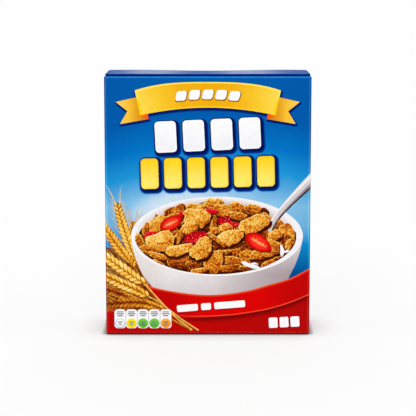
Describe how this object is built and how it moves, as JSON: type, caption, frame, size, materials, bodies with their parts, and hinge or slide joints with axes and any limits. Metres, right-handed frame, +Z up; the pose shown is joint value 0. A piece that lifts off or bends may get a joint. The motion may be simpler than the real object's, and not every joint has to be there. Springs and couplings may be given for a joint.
{
  "type": "cereal box",
  "caption": "Shut folding carton of printed board for breakfast flakes, standing upright on its glued base, with a glued outer top flap.",
  "frame": {"origin": "middle of the base, on the surface that the carton stands on", "axes": "+Z up, +X to the right along the front panel, +Y from the front panel to the back panel"},
  "size_m": [0.166, 0.0596, 0.211],
  "materials": {
    "printed_board": "folding boxboard, printed and gloss varnished outside, with raw grey-brown cut edges"
  },
  "bodies": {
    "root": {"carton": "printed_board"}
  },
  "joints": []
}
